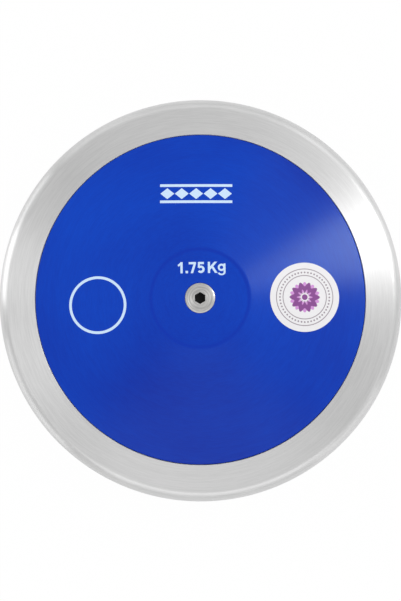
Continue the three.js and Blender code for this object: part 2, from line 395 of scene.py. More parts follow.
# The side plates
# Two alike shells moulded in blue ABS, then skimmed on the lathe. Each has a flat middle with a
# countersunk boss, a straight taper, ribs inside, and a skirt that stands on the rim's flange.
PRINT_THICKNESS = 0.02 * MM
PLATE_WALL = 3.2 * MM
SKIRT_WALL = 3.2 * MM
SKIRT_CHAMFER = 1.2 * MM
EDGE_CHAMFER = 0.3 * MM
EDGE_DRAFT = 0.12 * MM
BOSS_RADIUS = 17 * MM
BOSS_THICKNESS = 8 * MM
HEAD_RADIUS = 7.8 * MM
HEAD_GAP = 0.15 * MM
HEAD_SINK = 0.15 * MM
HEAD_LAND = 0.3 * MM
SCREW_HOLE_RADIUS = 4.2 * MM
COUNTERBORE_RADIUS = 6.65 * MM
COUNTERBORE_DEPTH = 1.95 * MM
RIB_COUNT = 12
RIB_THICKNESS = 2 * MM
RIB_STEP = 0.6 * MM
RING_RIB_SHARE = 0.5
PIN_BOSS_RADIUS = 4 * MM
PIN_END_GAP = 0.3 * MM
PLATE_STEPS = 288
FLAT_BLEND = 0.9 * MM
WALL_FILLET = 1.2 * MM
BOSS_SOFTENING = 0.3 * MM
MOULD_SOFTENING = 0.2 * MM
COUNTERBORE_SOFTENING = 0.15 * MM
SINK_SOFTENING = 0.1 * MM
EDGE_SOFTENING = 0.12 * MM
LIP_SOFTENING = 0.08 * MM
SIDES = {"upper": Matrix.Identity(4), "lower": Matrix.Rotation(math.pi, 4, "X")}

BLUE = (0.0, 0.0185, 0.345, 1)
BLUE_LIGHT = (0.0, 0.0565, 0.54, 1)
# A deeper blue ring round the edge of the flat middle is painted shade, where the flat meets the
# taper.
BLUE_PAINTED_SHADE = (0.0, 0.029, 0.42, 1)
PAINTED_SHADE_RING = 25.4
PAINTED_SHADE_RING_HALF = 0.8
PAINTED_SHADE_RING_SHARE = 0.85
SKIM_LINES = (0.45, 1.5)
SKIM_SHARE = 0.08
HAIRLINES = (2.2, 12.0)
HAIRLINE_SHARE = 0.2
# Broad clouds of lighter and darker blue: partly the moulding's own uneven tone, partly painted
# light and shade across the plate.
CLOUDS_PER_MM = 0.009
CLOUD_SEED = 28.0
CLOUD_CONTRAST = (0.34, 0.74)
CLOUD_AND_LIGHT_SHARE = 0.7
# The blue is painted lighter from the taper in to the flat middle: painted light. The roughness also
# rises there.
MIDDLE_START = 90.0
PAINTED_MIDDLE_LIGHT_SHARE = 0.08
PLATE_ROUGHNESS = 0.155
SKIM_ROUGHNESS = 0.06
MIDDLE_ROUGHNESS = 0.05
SKIM_RELIEF = 0.003 * MM
blue_moulding = Finish(
    "skimmed_blue_moulding",
    {
        "Specular IOR Level": 0.23,
        "Specular Tint": (0.82, 1, 1, 1),
        "Anisotropic": 0.15,
        "Anisotropic Rotation": ROUND_BRUSHING,
    },
)


def within(value, half_width, softness):
    """1 where a value lies within half a width of zero, with a soft border, else 0."""
    size = value.math("ABSOLUTE")
    return value.finish.ramp(size, half_width + softness, half_width - softness)


skim_lines = lathe_lines(blue_moulding, *SKIM_LINES)
clear_lines = blue_moulding.ramp(skim_lines, *LINE_CONTRAST)
clear_hairlines = blue_moulding.ramp(lathe_lines(blue_moulding, *HAIRLINES), *LINE_CONTRAST)
x, y, z = [value * CLOUDS_PER_MM for value in blue_moulding.place()]
clouds_and_painted_light = blue_moulding.ramp(blue_moulding.noise(x, y, z, CLOUD_SEED), *CLOUD_CONTRAST)
off_axis = blue_moulding.off_axis()
# Painted shade: a deeper blue ring at the edge of the flat middle.
painted_shade_ring = within(off_axis - PAINTED_SHADE_RING, PAINTED_SHADE_RING_HALF, PAINTED_SHADE_RING_HALF)
# Painted light: the blue grows lighter towards the flat middle.
towards_middle = blue_moulding.ramp(off_axis, MIDDLE_START, FLAT_RADIUS / MM)
lines_shade = clear_lines * SKIM_SHARE + clear_hairlines * HAIRLINE_SHARE
# The broad clouds and the lighter middle carry painted light into the blue, besides the real skim
# lines.
broad_tone_and_painted_light = clouds_and_painted_light * CLOUD_AND_LIGHT_SHARE + towards_middle * PAINTED_MIDDLE_LIGHT_SHARE
blue = blue_moulding.mixed(broad_tone_and_painted_light + lines_shade, BLUE, BLUE_LIGHT)
shade_ringed_blue = blue_moulding.mixed(painted_shade_ring * PAINTED_SHADE_RING_SHARE, blue, BLUE_PAINTED_SHADE)
skim_roughness = skim_lines * SKIM_ROUGHNESS + towards_middle * MIDDLE_ROUGHNESS
blue_moulding.feed("Base Color", shade_ringed_blue)
blue_moulding.feed("Roughness", skim_roughness + PLATE_ROUGHNESS)
blue_moulding.feed("Normal", blue_moulding.bumped(skim_lines, SKIM_RELIEF))

skirt_bottom = plate_low.z - half_thickness
plate_radius = plate_high.x
skirt_inner = plate_radius - SKIRT_WALL
boss_bottom = half_thickness - BOSS_THICKNESS
wall_drop = PLATE_WALL / math.cos(taper_angle)
sink_radius = HEAD_RADIUS + HEAD_GAP
sink_depth = HEAD_SINK + HEAD_LAND + sink_radius - SCREW_HOLE_RADIUS
plate_top = half_thickness - PRINT_THICKNESS
top_radius = plate_radius - EDGE_DRAFT
edge_top = side_height(top_radius - EDGE_CHAMFER) - PRINT_THICKNESS
under_flat = half_thickness - PLATE_WALL
under_flat_radius = FLAT_RADIUS - PLATE_WALL * math.tan(taper_angle / 2)
plate_outline = [
    (sink_radius, plate_top, SINK_SOFTENING),
    (sink_radius, half_thickness - HEAD_SINK - HEAD_LAND, 0),
    (SCREW_HOLE_RADIUS, half_thickness - sink_depth, MOULD_SOFTENING),
    (SCREW_HOLE_RADIUS, boss_bottom + COUNTERBORE_DEPTH, COUNTERBORE_SOFTENING),
    (COUNTERBORE_RADIUS, boss_bottom + COUNTERBORE_DEPTH, COUNTERBORE_SOFTENING),
    (COUNTERBORE_RADIUS, boss_bottom, MOULD_SOFTENING),
    (BOSS_RADIUS, boss_bottom, BOSS_SOFTENING),
    (BOSS_RADIUS, under_flat, WALL_FILLET),
    (under_flat_radius, under_flat, FLAT_BLEND),
    (skirt_inner, side_height(skirt_inner) - wall_drop, WALL_FILLET),
    (skirt_inner, skirt_bottom, BOSS_SOFTENING),
    (plate_radius - SKIRT_CHAMFER, skirt_bottom, MOULD_SOFTENING),
    (plate_radius, skirt_bottom + SKIRT_CHAMFER, MOULD_SOFTENING),
    (top_radius, edge_top - EDGE_CHAMFER, LIP_SOFTENING),
    (top_radius - EDGE_CHAMFER, edge_top, EDGE_SOFTENING),
    (FLAT_RADIUS, plate_top, FLAT_BLEND),
]
plate_shape = turned(plate_outline, PLATE_STEPS)


def trimmed(shape, point, direction, keeps_below):
    """Cuts a shape at a plane, keeps what is below or above it, and closes the cut."""
    cut = bmesh.ops.bisect_plane(
        shape,
        geom=shape.verts[:] + shape.edges[:] + shape.faces[:],
        plane_co=point,
        plane_no=direction,
        clear_outer=keeps_below,
        clear_inner=not keeps_below,
    )
    cut_edges = [part for part in cut["geom_cut"] if isinstance(part, bmesh.types.BMEdge)]
    bmesh.ops.edgeloop_fill(shape, edges=cut_edges)


# A rib is a bar cut to slopes: under the middle of the wall, and from the boss to the skirt.
rib_start = BOSS_RADIUS - RIB_STEP
rib_end = plate_radius - SKIRT_WALL / 2
rib = bmesh.new()
rib_size = Matrix.Diagonal((rib_end - rib_start, RIB_THICKNESS, half_thickness, 1))
rib_spot = Matrix.Translation(((rib_start + rib_end) / 2, 0, half_thickness / 2))
bmesh.ops.create_cube(rib, size=1, matrix=rib_spot @ rib_size)
lower_rise = (boss_bottom - skirt_bottom) / (skirt_inner - BOSS_RADIUS)
cuts = [
    ((FLAT_RADIUS, 0, half_thickness - wall_drop / 2), (taper_slope, 0, 1), True),
    ((0, 0, half_thickness - PLATE_WALL / 2), (0, 0, 1), True),
    ((skirt_inner, 0, skirt_bottom + RIB_STEP), (lower_rise, 0, 1), False),
]
for point, direction, keeps_below in cuts:
    trimmed(rib, point, direction, keeps_below)
bmesh.ops.recalc_face_normals(rib, faces=rib.faces)
plate_shape = worked(plate_shape, round_axis(rib, RIB_COUNT, 0), "UNION")

ring_middle = BOSS_RADIUS + RING_RIB_SHARE * (skirt_inner - BOSS_RADIUS)
ring_inner = ring_middle - RIB_THICKNESS / 2
ring_outer = ring_middle + RIB_THICKNESS / 2
ring_bottom = skirt_bottom + RIB_STEP + lower_rise * (skirt_inner - ring_middle)
ring_rib = turned(
    [
        (ring_inner, ring_bottom, MOULD_SOFTENING),
        (ring_outer, ring_bottom, MOULD_SOFTENING),
        (ring_outer, side_height(ring_outer) - wall_drop / 2, 0),
        (ring_inner, side_height(ring_inner) - wall_drop / 2, 0),
    ],
    PLATE_STEPS,
)
plate_shape = worked(plate_shape, ring_rib, "UNION")

# Each locating pin has a bored boss of its own beside the skirt.
pin_top = pin_high.z - half_thickness
boss_top = side_height(pin_circle + PIN_BOSS_RADIUS) - wall_drop / 2
pin_boss = cylinder(PIN_BOSS_RADIUS, skirt_bottom + RIB_STEP, boss_top, HOLE_FACETS)
pin_bore = cylinder(PIN_RADIUS + PIN_SIDE_GAP, 0, pin_top + PIN_END_GAP, HOLE_FACETS)
for shape, operation in ((pin_boss, "UNION"), (pin_bore, "DIFFERENCE")):
    bmesh.ops.translate(shape, vec=(pin_circle, 0, 0), verts=shape.verts)
    plate_shape = worked(plate_shape, round_axis(shape, PIN_COUNT, math.pi / PIN_COUNT), operation)

for side, turn in SIDES.items():
    as_piece(
        f"{side}_moulded_plate",
        raised(plate_shape.copy(), turn),
        [blue_moulding],
        "blue_plastic",
        f"{side}_side_plate",
    )

# The gaskets
# Flat rings cut from black rubber sheet and punched for the pins. One lies on each face of the
# rim's flange, where the plate's skirt clamps it.
GASKET_INSET = 0.7 * MM
GASKET_SOFTENING = 0.15 * MM
GASKET_HOLE_RADIUS = 2.15 * MM
RUBBER = (0.013, 0.013, 0.014, 1)
RUBBER_WORN = (0.022, 0.022, 0.023, 1)
GRAINS_PER_MM = 1.5
GRAIN_RELIEF = 0.02 * MM
RUBBER_ROUGHNESS = 0.58
GRAIN_ROUGHNESS = 0.25
black_rubber = Finish("black_rubber", {"Specular IOR Level": 0.35})
x, y, z = [value * GRAINS_PER_MM for value in black_rubber.place()]
grain = black_rubber.noise(x, y, z, detail=4.0)
black_rubber.feed("Base Color", black_rubber.mixed(grain, RUBBER, RUBBER_WORN))
black_rubber.feed("Roughness", grain * GRAIN_ROUGHNESS + RUBBER_ROUGHNESS)
black_rubber.feed("Normal", black_rubber.bumped(grain, GRAIN_RELIEF))


def flat_ring(node, inner, softening, steps):
    """A ring with a bore, and with the rim and faces of a solid on the axis, softly cornered."""
    low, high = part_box(node)
    bottom = low.z - half_thickness
    top = high.z - half_thickness
    return turned(
        [
            (inner, bottom, softening),
            (high.x, bottom, softening),
            (high.x, top, softening),
            (inner, top, softening),
        ],
        steps,
    )


for side in SIDES:
    node = f"{side}_rim_gasket"
    gasket = flat_ring(node, flange_bore + GASKET_INSET, GASKET_SOFTENING, PLATE_STEPS)
    punch = cylinder(GASKET_HOLE_RADIUS, -half_thickness, half_thickness, HOLE_FACETS)
    bmesh.ops.translate(punch, vec=(pin_circle, 0, 0), verts=punch.verts)
    gasket = worked(gasket, round_axis(punch, PIN_COUNT, math.pi / PIN_COUNT), "DIFFERENCE")
    as_piece(f"{side}_gasket", raised(gasket), [black_rubber], "black_rubber", node)

# The locating pins
# Dowels of hardened steel, ground bright, with chamfered ends. They are pushed through the
# rim's flange and reach into both plates, so that the plates can't turn.
PIN_CHAMFER = 0.4 * MM
PIN_STEEL = (0.36, 0.37, 0.38, 1)
PIN_ROUGHNESS = 0.18
SCUFF_ROUGHNESS = 0.2
SCUFFS_PER_MM = (2, 2, 6)
pin_steel = Finish("ground_pin_steel", {"Metallic": 1.0, "Base Color": PIN_STEEL})
x, y, z = [value * density for value, density in zip(pin_steel.place(), SCUFFS_PER_MM)]
scuffs = pin_steel.noise(x, y, z, detail=4.0)
pin_steel.feed("Roughness", scuffs * SCUFF_ROUGHNESS + PIN_ROUGHNESS)
for i in range(PIN_COUNT):
    node = f"locating_pin_{i + 1}"
    low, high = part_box(node)
    pin = cylinder(PIN_RADIUS, low.z, high.z, HOLE_FACETS)
    rims = [edge for edge in pin.edges if edge.calc_length() < PIN_RADIUS]
    bmesh.ops.bevel(
        pin, geom=rims, offset=PIN_CHAMFER, segments=2, profile=0.5, affect="EDGES", material=-1
    )
    centre = (low + high) / 2
    bmesh.ops.translate(pin, vec=(centre.x, centre.y, 0), verts=pin.verts)
    as_piece(f"dowel_{i + 1}", pin, [pin_steel], "pin_steel", node)

# The threaded core
# A turned steel barrel, tapped from both ends, with a collar that the trim washers rest on and
# a spigot at each end that centres a plate.
CORE_RADIUS = 9 * MM
COLLAR_RADIUS = 13 * MM
COLLAR_HALF = 2 * MM
SPIGOT_RADIUS = 6.5 * MM
SPIGOT_HEIGHT = 1.8 * MM
CORE_CHAMFER = 0.5 * MM
COLLAR_SOFTENING = 0.3 * MM
SPIGOT_SOFTENING = 0.2 * MM
CORE_BORE = 3.5 * MM
CORE_STEPS = 96
THREAD_PITCH = 1.25 * MM
THREAD_DEPTH = 0.62 * MM
THREAD_STEPS = 48
THREAD_WELD_DISTANCE = 0.002 * MM
CREST_SHARE = 0.125
ROOT_SHARE = 0.75
SPARE_TURNS = 2
TAP_CREST = 4.06 * MM
CORE_STEEL = (0.44, 0.44, 0.43, 1)
CORE_STEEL_BRIGHT = (0.52, 0.52, 0.51, 1)
CORE_TURNING = (4.0, 0.6)
CORE_ROUGHNESS = 0.3
CORE_LINE_ROUGHNESS = 0.2
_, core_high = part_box("threaded_core")
core_top = core_high.z - half_thickness
core_end = core_top - SPIGOT_HEIGHT
core_steel = Finish("turned_core_steel", {"Metallic": 1.0, "Anisotropic": 0.5})
tool_lines = lathe_lines(core_steel, *CORE_TURNING)
core_steel.feed("Base Color", core_steel.mixed(tool_lines, CORE_STEEL, CORE_STEEL_BRIGHT))
core_steel.feed("Roughness", tool_lines * CORE_LINE_ROUGHNESS + CORE_ROUGHNESS)


def threaded_rod(crest, bottom, top):
    """A closed rod with a right-hand thread: a tooth wound up the axis, cut flat at both ends."""
    rod = bmesh.new()
    root = crest - THREAD_DEPTH
    half_pitch = THREAD_PITCH / 2
    tooth = [
        (root, -half_pitch),
        (root, -half_pitch * ROOT_SHARE),
        (crest, -half_pitch * CREST_SHARE),
        (crest, half_pitch * CREST_SHARE),
        (root, half_pitch * ROOT_SHARE),
        (root, half_pitch),
    ]
    first_tooth = math.floor(bottom / THREAD_PITCH) - SPARE_TURNS
    turns = math.ceil(top / THREAD_PITCH) - first_tooth + SPARE_TURNS
    start = first_tooth * THREAD_PITCH
    corners = [rod.verts.new((radius, 0, start + height)) for radius, height in tooth]
    for lower, upper in zip(corners, corners[1:]):
        rod.edges.new((lower, upper))
    bmesh.ops.spin(
        rod,
        geom=rod.verts[:] + rod.edges[:],
        cent=(0, 0, 0),
        axis=(0, 0, 1),
        dvec=(0, 0, THREAD_PITCH / THREAD_STEPS),
        angle=turns * math.tau,
        steps=turns * THREAD_STEPS,
    )
    bmesh.ops.remove_doubles(rod, verts=rod.verts, dist=THREAD_WELD_DISTANCE)
    for height, keeps_below in ((top, True), (bottom, False)):
        trimmed(rod, (0, 0, height), (0, 0, 1), keeps_below)
    bmesh.ops.recalc_face_normals(rod, faces=rod.faces)
    return rod


upper_core = [
    (COLLAR_RADIUS, COLLAR_HALF, COLLAR_SOFTENING),
    (CORE_RADIUS, COLLAR_HALF, COLLAR_SOFTENING),
    (CORE_RADIUS, core_end, CORE_CHAMFER),
    (SPIGOT_RADIUS, core_end, SPIGOT_SOFTENING),
    (SPIGOT_RADIUS, core_top, CORE_CHAMFER),
]
core_bore = [(CORE_BORE, core_top, CORE_CHAMFER), (CORE_BORE, -core_top, CORE_CHAMFER)]
core_shape = turned(upper_core + core_bore + mirrored(upper_core), CORE_STEPS)
tap = threaded_rod(TAP_CREST, -core_top - CUT_OVERRUN, core_top + CUT_OVERRUN)
core_shape = worked(core_shape, tap, "DIFFERENCE")
as_piece("tapped_core", raised(core_shape), [core_steel], "core_steel", "threaded_core")

# The trim washers and packing rings
# Thin steel washers stacked on the core's collar bring the discus to its weight. A rubber ring
# under each plate's boss keeps them from rattling.
SLIDE_GAP = 0.15 * MM
WASHERS_A_SIDE = 2
WASHER_SOFTENING = 0.25 * MM
PACKING_SOFTENING = 0.5 * MM
WASHER_STEPS = 144
WASHER_STEEL = (0.42, 0.43, 0.45, 1)
SPANGLES_PER_MM = 0.5
WASHER_ROUGHNESS = 0.25
SPANGLE_ROUGHNESS = 0.3
washer_steel = Finish("stamped_washer_steel", {"Metallic": 1.0, "Base Color": WASHER_STEEL})
x, y, z = [value * SPANGLES_PER_MM for value in washer_steel.place()]
spangle = washer_steel.noise(x, y, z, detail=3.0)
washer_steel.feed("Roughness", spangle * SPANGLE_ROUGHNESS + WASHER_ROUGHNESS)
washer_bore = CORE_RADIUS + SLIDE_GAP
for side in SIDES:
    for number in range(1, WASHERS_A_SIDE + 1):
        node = f"{side}_trim_washer_{number}"
        washer = flat_ring(node, washer_bore, WASHER_SOFTENING, WASHER_STEPS)
        as_piece(f"{side}_weight_{number}", raised(washer), [washer_steel], "washer_steel", node)
    node = f"{side}_packing_ring"
    packing = flat_ring(node, washer_bore, PACKING_SOFTENING, WASHER_STEPS)
    as_piece(f"{side}_packing", raised(packing), [black_rubber], "black_rubber", node)

# The centre screws
# Countersunk socket screws in plain steel. The head is faced on the lathe, and the hexagon
# socket is punched; its inside is painted near black, as painted shade in the recess.
SCREW_CREST = 3.9 * MM
SCREW_NECK = 3.6 * MM
NECK_LENGTH = 1.2 * MM
SCREW_TIP_CHAMFER = 0.9 * MM
SOCKET_ACROSS_FLATS = 5 * MM
SOCKET_DEPTH = 3 * MM
SOCKET_POINT = 0.8 * MM
SOCKET_LEAD = 0.2 * MM
HEAD_EDGE_WIDTH = 0.5 * MM
HEAD_EDGE_DROP = 0.2 * MM
NECK_SOFTENING = 0.2 * MM
CONE_SOFTENING = 0.1 * MM
LAND_SOFTENING = 0.05 * MM
HEAD_EDGE_SOFTENING = 0.06 * MM
FACE_SOFTENING = 0.12 * MM
HEAD_STEPS = 96
POINT_STEPS = 90
FACE_MARGIN = 0.01 * MM
SCREW_STEEL = (0.46, 0.455, 0.45, 1)
SCREW_STEEL_BRIGHT = (0.78, 0.77, 0.755, 1)
FACING = (1.8, 0.6)
FACING_CONTRAST = (0.3, 0.7)
FACING_RELIEF = 0.01 * MM
SCREW_ROUGHNESS = 0.24
FACING_ROUGHNESS = 0.2
SOCKET_PAINTED_SHADE = (0.006, 0.006, 0.007, 1)
SOCKET_ROUGHNESS = 0.5
MOTTLE_ROUGHNESS = 0.3
screw_low, screw_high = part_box("upper_centre_screw")
head_top = screw_high.z - half_thickness
screw_tip = screw_low.z - half_thickness
land_bottom = head_top - HEAD_LAND
neck = land_bottom - (HEAD_RADIUS - SCREW_CREST)
screw_steel = Finish(
    "faced_screw_steel",
    {"Metallic": 1.0, "Anisotropic": 0.6, "Anisotropic Rotation": ROUND_BRUSHING},
)
facing_lines = lathe_lines(screw_steel, *FACING)
clear_facing = screw_steel.ramp(facing_lines, *FACING_CONTRAST)
screw_steel.feed("Base Color", screw_steel.mixed(clear_facing, SCREW_STEEL, SCREW_STEEL_BRIGHT))
screw_steel.feed("Roughness", facing_lines * FACING_ROUGHNESS + SCREW_ROUGHNESS)
screw_steel.feed("Normal", screw_steel.bumped(facing_lines, FACING_RELIEF))
# The socket's inside is painted near black: painted shade standing in for the dark recess.
painted_socket_shade = Finish("painted_socket_shade", {"Base Color": SOCKET_PAINTED_SHADE, "Specular IOR Level": 0.25})
socket_mottle = painted_socket_shade.noise(*painted_socket_shade.place(), detail=3.0)
painted_socket_shade.feed("Roughness", socket_mottle * MOTTLE_ROUGHNESS + SOCKET_ROUGHNESS)

head_outline = [
    (0, neck - NECK_LENGTH, 0),
    (SCREW_NECK, neck - NECK_LENGTH, 0),
    (SCREW_NECK, neck, NECK_SOFTENING),
    (SCREW_CREST, neck, CONE_SOFTENING),
    (HEAD_RADIUS, land_bottom, LAND_SOFTENING),
    (HEAD_RADIUS, head_top - HEAD_EDGE_DROP, HEAD_EDGE_SOFTENING),
    (HEAD_RADIUS - HEAD_EDGE_WIDTH, head_top, FACE_SOFTENING),
    (0, head_top, 0),
]
tip_radius = SCREW_CREST - SCREW_TIP_CHAMFER
point_reach = SCREW_TIP_CHAMFER + 2 * CUT_OVERRUN
point_outline = [
    (0, screw_tip, 0),
    (tip_radius, screw_tip, 0),
    (tip_radius + point_reach, screw_tip + point_reach, 0),
    (tip_radius + point_reach, neck, 0),
    (0, neck, 0),
]
thread = threaded_rod(SCREW_CREST, screw_tip - CUT_OVERRUN, neck - NECK_LENGTH / 2)
shank = worked(thread, turned(point_outline, POINT_STEPS), "INTERSECT")
screw_shape = worked(turned(head_outline, HEAD_STEPS), shank, "UNION")
corner_radius = SOCKET_ACROSS_FLATS / math.sqrt(3)
socket_floor = head_top - SOCKET_DEPTH
lead_bottom = head_top - SOCKET_LEAD
lead_top = head_top + SOCKET_LEAD
lead_reach = 2 * SOCKET_LEAD / math.sqrt(3)
point_bottom = socket_floor - SOCKET_POINT
hexagon = cylinder(corner_radius, socket_floor, head_top + CUT_OVERRUN, 6)
lead = cylinder(corner_radius, lead_bottom, lead_top, 6, corner_radius + 2 * lead_reach)
drill_point = cylinder(0, point_bottom, socket_floor, HOLE_FACETS, SOCKET_ACROSS_FLATS / 2)
for tool in (hexagon, drill_point, lead):
    screw_shape = worked(screw_shape, tool, "DIFFERENCE")
# Faces deep in the socket take the near-black painted shade.
for face in screw_shape.faces:
    spot = face.calc_center_median()
    in_socket = spot.xy.length < corner_radius + lead_reach
    is_deep = point_bottom - SOCKET_POINT < spot.z < head_top - FACE_MARGIN
    face.material_index = 1 if in_socket and is_deep else 0
for side, turn in SIDES.items():
    as_piece(
        f"{side}_socket_screw",
        raised(screw_shape.copy(), turn),
        [screw_steel, painted_socket_shade],
        "screw_steel",
        f"{side}_centre_screw",
    )

# The printed marks
# The weight in plain numerals on the flat, a bare ring on the left for a mark of the owner's,
# and a plain ornament above. All are pad printed in pale ink on the upper plate.
NUMERAL_PLACE = Vector((-11.5, 12.75, 0)) * MM
NUMERAL_TURN = math.radians(0.7)
NUMERAL_HEIGHT = 5.8
NUMERAL_LENGTH = 26.0
STROKE = 1.17
THIN_STROKE = 1.0
POINT_WIDTH = 1.9
STROKE_OVERRUN = 1.0
LINE_DEPTH = 4
ARC_STEPS = 40
RING_CENTRE = Vector((-53.2, -3.4)) * MM
RING_OUTER = 15.0 * MM
RING_INNER = 13.62 * MM
RING_STEPS = 160
RING_BANDS = 2
RING_WELD_DISTANCE = 0.001 * MM
ORNAMENT_CENTRE = Vector((-2.1, 54.7)) * MM
LOZENGE_COUNT = 5
LOZENGE_HALF = Vector((3.6, 2.9)) * MM
LOZENGE_PITCH = 7.5 * MM
RULE_LENGTH = 37.6 * MM
RULE_WIDTH = 1.4 * MM
RULE_OFFSET = 4.3 * MM
STRIP_WIDTH = 1.5 * MM
SLIVER = 0.01 * MM
INK = (0.66, 0.82, 0.99, 1)
INK_THIN = (0.56, 0.74, 0.97, 1)
INK_PATCHES_PER_MM = 1.2
INK_ROUGHNESS = 0.38
PATCH_ROUGHNESS = 0.2
pale_ink = Finish("pale_pad_ink", {"Specular IOR Level": 0.4})
x, y, z = pale_ink.place()
coverage = pale_ink.noise(x * INK_PATCHES_PER_MM, y * INK_PATCHES_PER_MM, z, detail=3.0)
pale_ink.feed("Base Color", pale_ink.mixed(coverage, INK_THIN, INK))
pale_ink.feed("Roughness", coverage * PATCH_ROUGHNESS + INK_ROUGHNESS)


def surface_height(spot):
    """Height of the upper plate's surface above the middle plane, over a spot."""
    return side_height(max(spot.xy.length, FLAT_RADIUS))


def laid_on_plate(shape, thickness, lift=0.0):
    """A flat shape draped over the upper plate and given its thickness, so that it ends closed."""
    grown = bmesh.ops.extrude_face_region(shape, geom=shape.faces[:])
    top = {part for part in grown["geom"] if isinstance(part, bmesh.types.BMVert)}
    for vertex in shape.verts:
        vertex.co.z = surface_height(vertex.co) - PRINT_THICKNESS + lift
        if vertex in top:
            vertex.co.z += thickness
    bmesh.ops.recalc_face_normals(shape, faces=shape.faces)
    return shape


def sliced(shape, spacing):
    """Cuts a flat shape into strips both ways, so that it can follow the taper."""
    for axis in range(2):
        values = [vertex.co[axis] for vertex in shape.verts]
        place = math.ceil(min(values) / spacing) * spacing
        while place < max(values):
            point = Vector((0, 0, 0))
            point[axis] = place
            direction = Vector((0, 0, 0))
            direction[axis] = 1
            parts = shape.verts[:] + shape.edges[:] + shape.faces[:]
            bmesh.ops.bisect_plane(shape, geom=parts, plane_co=point, plane_no=direction)
            place += spacing
    bmesh.ops.dissolve_degenerate(shape, dist=SLIVER, edges=shape.edges)
    return shape


def bar(start_x, start_y, end_x, end_y, width):
    """A straight stroke between two points, in millimetres, as a closed film of ink."""
    start = Vector((start_x, start_y, 0)) * MM
    along = Vector((end_x, end_y, 0)) * MM - start
    turn = Matrix.Rotation(math.atan2(along.y, along.x), 4, "Z")
    size = Matrix.Diagonal((along.length, width * MM, PRINT_THICKNESS, 1))
    film = bmesh.new()
    bmesh.ops.create_cube(film, size=1, matrix=Matrix.Translation(start + along / 2) @ turn @ size)
    return film


def bow(centre_x, centre_y, radius, first, sweep, width, flattening):
    """A curved stroke round a centre, from a first bearing through a sweep in degrees."""
    half_width = width / 2 * MM
    half_film = PRINT_THICKNESS / 2
    film = bmesh.new()
    corners = [
        film.verts.new((radius * MM + outward * half_width, 0, upward * half_film))
        for outward, upward in ((-1, -1), (1, -1), (1, 1), (-1, 1))
    ]
    for start, end in zip(corners, corners[1:] + corners[:1]):
        film.edges.new((start, end))
    closed = sweep == 360
    bmesh.ops.spin(
        film,
        geom=film.verts[:] + film.edges[:],
        cent=(0, 0, 0),
        axis=(0, 0, 1),
        angle=math.radians(sweep),
        steps=ARC_STEPS,
        use_merge=closed,
    )
    if not closed:
        bmesh.ops.holes_fill(film, edges=film.edges, sides=4)
    place = Matrix.Translation(Vector((centre_x, centre_y, 0)) * MM)
    squash = Matrix.Diagonal((1, flattening, 1, 1))
    turn = Matrix.Rotation(math.radians(first), 4, "Z")
    bmesh.ops.transform(film, matrix=place @ squash @ turn, verts=film.verts)
    bmesh.ops.recalc_face_normals(film, faces=film.faces)
    return film


def joined(films):
    """One film of ink from overlapping strokes."""
    whole = films[0]
    for film in films[1:]:
        whole = worked(whole, film, "UNION")
    return whole


# Strokes are placed in millimetres from the lower left of the line. Those that run past the
# line's foot or head are cut level with it.
foot = -STROKE_OVERRUN
head = NUMERAL_HEIGHT + STROKE_OVERRUN
figure_one = [
    bar(1.96, foot, 1.96, head, STROKE),
    bar(0.2, 3.85, 2.1, 5.45, THIN_STROKE),
]
decimal_point = [bar(4.0, 0.3, 5.3, 0.3, POINT_WIDTH)]
figure_seven = [
    bar(5.69, 5.2, 9.45, 5.2, STROKE),
    bar(6.95, foot, 8.95, 5.2, STROKE),
]
figure_five = [
    bar(10.45, 5.2, 13.55, 5.2, STROKE),
    bar(11.05, 5.3, 10.8, 2.85, THIN_STROKE),
    bow(11.95, 1.97, 1.35, -145, 290, STROKE, 1.0),
]
capital_k = [
    bar(16.15, foot, 16.15, head, STROKE),
    bar(16.3, 2.0, 20.0, 6.2, STROKE),
    bar(17.6, 3.6, 20.4, -0.8, STROKE),
]
upright = joined(figure_one + decimal_point + figure_seven + figure_five + capital_k)
line_middle = NUMERAL_HEIGHT / 2
line = bar(-STROKE_OVERRUN, line_middle, NUMERAL_LENGTH, line_middle, NUMERAL_HEIGHT)
bmesh.ops.scale(line, vec=(1, 1, LINE_DEPTH), verts=line.verts)
upright = worked(upright, line, "INTERSECT")
small_g = [
    bow(22.6, 2.85, 1.4, 0, 360, THIN_STROKE, 1.0),
    bar(24.2, 4.85, 24.2, 0.3, THIN_STROKE),
    bow(22.65, 0.4, 1.55, -165, 170, THIN_STROKE, 0.8),
]
numerals = joined([upright] + small_g)
turn = Matrix.Translation(NUMERAL_PLACE) @ Matrix.Rotation(NUMERAL_TURN, 4, "Z")
bmesh.ops.transform(numerals, matrix=turn, verts=numerals.verts)
film_middle = half_thickness - PRINT_THICKNESS / 2
bmesh.ops.translate(numerals, vec=(0, 0, film_middle), verts=numerals.verts)
as_piece("weight_numerals", raised(numerals), [pale_ink], "white_vinyl")


def flat_round(inner, outer, centre, steps, bands):
    """A flat ring or disc of narrow bands, spun from a line of points that runs outwards."""
    shape = bmesh.new()
    radii = [inner + (outer - inner) * i / bands for i in range(bands + 1)]
    points = [shape.verts.new((centre.x + radius, centre.y, 0)) for radius in radii]
    for start, end in zip(points, points[1:]):
        shape.edges.new((start, end))
    bmesh.ops.spin(
        shape,
        geom=shape.verts[:] + shape.edges[:],
        cent=(centre.x, centre.y, 0),
        axis=(0, 0, 1),
        angle=math.tau,
        steps=steps,
        use_merge=True,
    )
    bmesh.ops.remove_doubles(shape, verts=shape.verts, dist=RING_WELD_DISTANCE)
    return shape


ring = flat_round(RING_INNER, RING_OUTER, RING_CENTRE, RING_STEPS, RING_BANDS)
as_piece("owner_ring", raised(laid_on_plate(ring, PRINT_THICKNESS)), [pale_ink], "white_vinyl")

